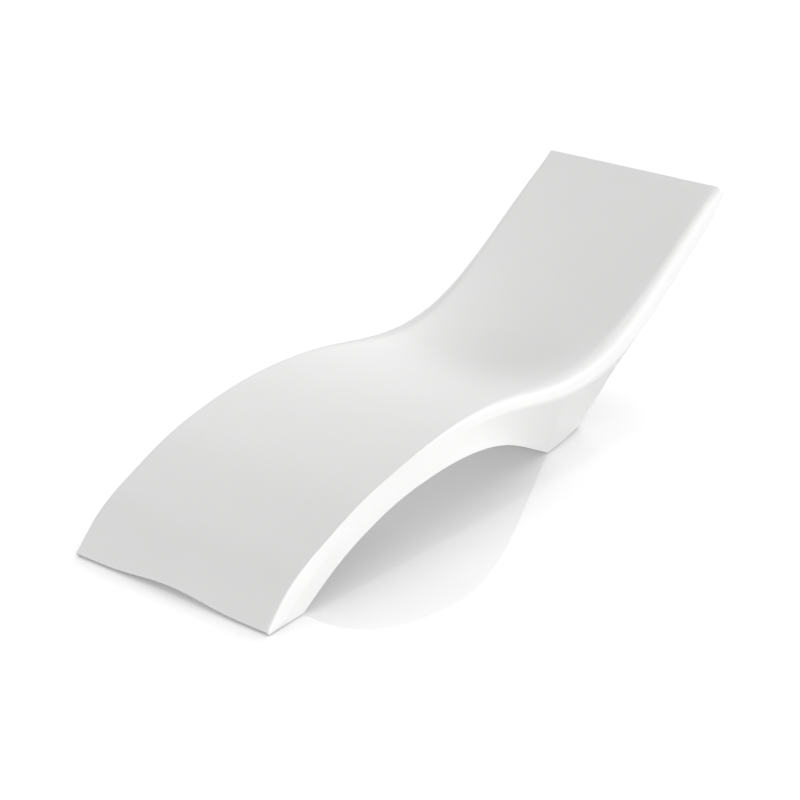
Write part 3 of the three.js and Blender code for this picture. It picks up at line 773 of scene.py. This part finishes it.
cut(cap, thread("cap_thread", **cap_thread), "UNION")
put(cap, *ports["fill"])
closure_white = finish(
    "closure_white",
    tints=((0.79, 0.79, 0.77), (0.83, 0.83, 0.81)),
    roughness=(0.34, 0.44),
    patch=22,
    grain=1.0,
    relief=0.03,
)
finished(cap, closure_white, "closure_plastic", "fill_cap", "fill_cap")

# Drain plugs: two small screw plugs of the same white, each turned by a coin in
# the slot across its head. The shank is cored out behind its fine thread.
plug_outline = (
    (0, -1.1), (9.5, -1.1), (10, -0.7), (15.4, -0.7), (16.2, -1.1), (16.5, -1.8), (16.5, -3.5),
    (16.1, -3.9), (9.2, -3.9), (8.7, -4.4), (8.7, -16.2), (8, -16.9), (6.7, -16.9), (6.3, -16.5),
    (6.1, -7.5), (5.6, -7), (0, -7),
)
coin_slot = {"size": (3, 40, 6), "middle": (0, 0, 0.3), "edge": 0.8}
plug_thread = {"root": 8.5, "crest": 9.5, "pitch": 2, "low": -16.3, "turns": 5}


def copies(piece, names, spots):
    """Named copies of a modelled piece, each with its own mesh and put on its spot; the first piece goes."""
    made = []
    for name, spot in zip(names, spots):
        select_only(piece)
        bpy.ops.object.duplicate()
        copy = bpy.context.object
        copy.name = name
        made.append(put(copy, *spot))
    bpy.data.objects.remove(piece)
    return made


plug = turned("drain_port_plug", plug_outline, fitting_steps)
cut(plug, block("slot", **coin_slot))
cut(plug, thread("plug_thread", **plug_thread), "UNION")
drains = ("front_drain", "rear_drain")
plug_copies = copies(plug, [f"{port}_port_plug" for port in drains], [ports[port] for port in drains])
for port, copy in zip(drains, plug_copies):
    finished(copy, closure_white, "closure_plastic", f"{port}_plug", f"{port}_plug")

# Foot pads: four blocks of dark grey rubber let into the soles, a little proud of
# them, with three grooves for grip and two counterbored holes for their screws.
foot_pad = {"size": (60, 90, 7), "middle": (0, 0, 3.5), "corner": 12, "edge": 1}
grip_groove_places = (-12, 0, 12)
grip_groove_size = (3, 27, 2.4)
grip_groove_corner = 1.45
screw_hole = ((0, -2), (6.2, -2), (6.2, 0), (5.8, 0.4), (5.8, 3.9), (3.3, 3.9), (3.3, 9), (0, 9))
hole_steps = 32
pad = block("foot_pad", **foot_pad)
for place in grip_groove_places:
    cut(pad, block("groove", grip_groove_size, (place, 0, 0), grip_groove_corner))
for side in (-1, 1):
    cut(pad, put(turned("hole", screw_hole, hole_steps), (0, side * screw_spacing / 2, 0)))
grey_rubber = finish(
    "grey_rubber",
    tints=((0.06, 0.063, 0.067), (0.08, 0.083, 0.087)),
    roughness=(0.7, 0.9),
    patch=12,
    grain=0.9,
    relief=0.06,
)
pad_copies = copies(pad, [f"{name}_foot_pad" for name in pad_names], [(middle,) for middle in pad_middles])
for name, copy in zip(pad_names, pad_copies):
    finished(copy, grey_rubber, "pad_rubber", "root", f"foot_pad_{name}")

# Pad screws: stainless pan head screws with a hexagon socket, two to a pad. Each
# goes up through its counterbored hole into the brass insert over it.
screw_outline = (
    (0, 1.15), (3, 1.15), (3.6, 1), (4.5, 1.1), (5.2, 1.5), (5.5, 2.2), (5.5, 3.3), (5.2, 3.6),
    (3, 3.6), (2.6, 4), (2.6, 17), (2.1, 17.6), (0, 17.6),
)
screw_socket = ((0, 0), (2.6, 0), (2.31, 1.4), (2.31, 2.6), (0, 2.6))
screw_thread = {"root": 2.5, "crest": 2.98, "pitch": 1, "low": 4.2, "turns": 12, "steps": 20}
screw = turned("pad_screw", screw_outline, hole_steps)
cut(screw, turned("socket", screw_socket, hexagon))
cut(screw, thread("screw_thread", **screw_thread), "UNION")
stainless_steel = finish(
    "stainless_steel",
    tints=((0.5, 0.52, 0.54), (0.6, 0.62, 0.64)),
    roughness=(0.22, 0.36),
    patch=3,
    grain=0.25,
    relief=0.008,
    metallic=1,
)
screw_spots = [(place,) for place in screw_places.values()]
screw_copies = copies(screw, [f"{name}_pad_screw" for name in screw_places], screw_spots)
for name, copy in zip(screw_places, screw_copies):
    finished(copy, stainless_steel, "stainless", "root", f"pad_screw_{name}")

# Pad inserts: hexagonal brass nuts, one over each screw, with a thread in the
# bore. The soles are moulded round them, and a waist keeps them from pulling out.
insert_outline = (
    (0, 7.3), (4.9, 7.3), (5.19, 7.7), (5.19, 12.6), (4.6, 13.2), (4.6, 14.4), (5.19, 15), (5.19, 19.9),
    (4.9, 20.3), (0, 20.3),
)
insert_bore = ((0, 5), (3.3, 5), (3.3, 24), (0, 24))
insert_groove = {"root": 3.2, "crest": 3.7, "pitch": 1, "low": 7.6, "turns": 12, "steps": 20}
insert = turned("pad_insert", insert_outline, hexagon)
cut(insert, turned("bore", insert_bore, hole_steps))
cut(insert, thread("insert_groove", **insert_groove))
brass = finish(
    "brass",
    tints=((0.42, 0.26, 0.07), (0.5, 0.32, 0.1)),
    roughness=(0.28, 0.42),
    patch=4,
    grain=0.5,
    relief=0.02,
    metallic=1,
)
insert_copies = copies(insert, [f"{name}_pad_insert" for name in screw_places], screw_spots)
for name, copy in zip(screw_places, insert_copies):
    finished(copy, brass, "brass", "root", f"pad_insert_{name}")

# Studio light: a pale room, three soft lights round the lounger, and a small one
# overhead for the crisp shadow under the arch. Their strengths follow the tones
# of the photograph, with the near side kept just under white.
room_colour = (1, 1, 1, 1)
room_strength = 0.257
background_strength = 1
# Each light's azimuth (0 is the near side, 90 behind the head), height, strength and spread.
studio_lights = (
    ("light_near_side", 0, 8, 2.55, 16),
    ("light_behind_head", 90, 30, 2.0, 30),
    ("light_far_foot", -135, 8, 2.05, 30),
    ("light_overhead", 0, 90, 0.4, 4),
)
world = bpy.data.worlds.new("studio_world")
scene.world = world
world.use_nodes = True
sky_nodes = world.node_tree.nodes
sky_links = world.node_tree.links
sky = sky_nodes["Background"]
sky.inputs["Color"].default_value = room_colour
sky_rays = sky_nodes.new("ShaderNodeLightPath")
sky_seen = sky_nodes.new("ShaderNodeMath")
sky_seen.operation = "MAXIMUM"
sky_strength = sky_nodes.new("ShaderNodeMapRange")
sky_strength.inputs["To Min"].default_value = room_strength
sky_strength.inputs["To Max"].default_value = background_strength
sky_links.new(sky_rays.outputs["Is Camera Ray"], sky_seen.inputs[0])
sky_links.new(sky_rays.outputs["Is Glossy Ray"], sky_seen.inputs[1])
sky_links.new(sky_seen.outputs["Value"], sky_strength.inputs["Value"])
sky_links.new(sky_strength.outputs["Result"], sky.inputs["Strength"])
for name, azimuth, height, strength, spread in studio_lights:
    azimuth, height = math.radians(azimuth), math.radians(height)
    level = math.cos(height)
    toward = Vector((math.sin(azimuth) * level, -math.cos(azimuth) * level, math.sin(height)))
    bpy.ops.object.light_add(type="SUN", location=toward, rotation=toward.to_track_quat("Z", "Y").to_euler())
    studio_light = bpy.context.object
    studio_light.name = name
    studio_light.data.energy = strength
    studio_light.data.angle = math.radians(spread)
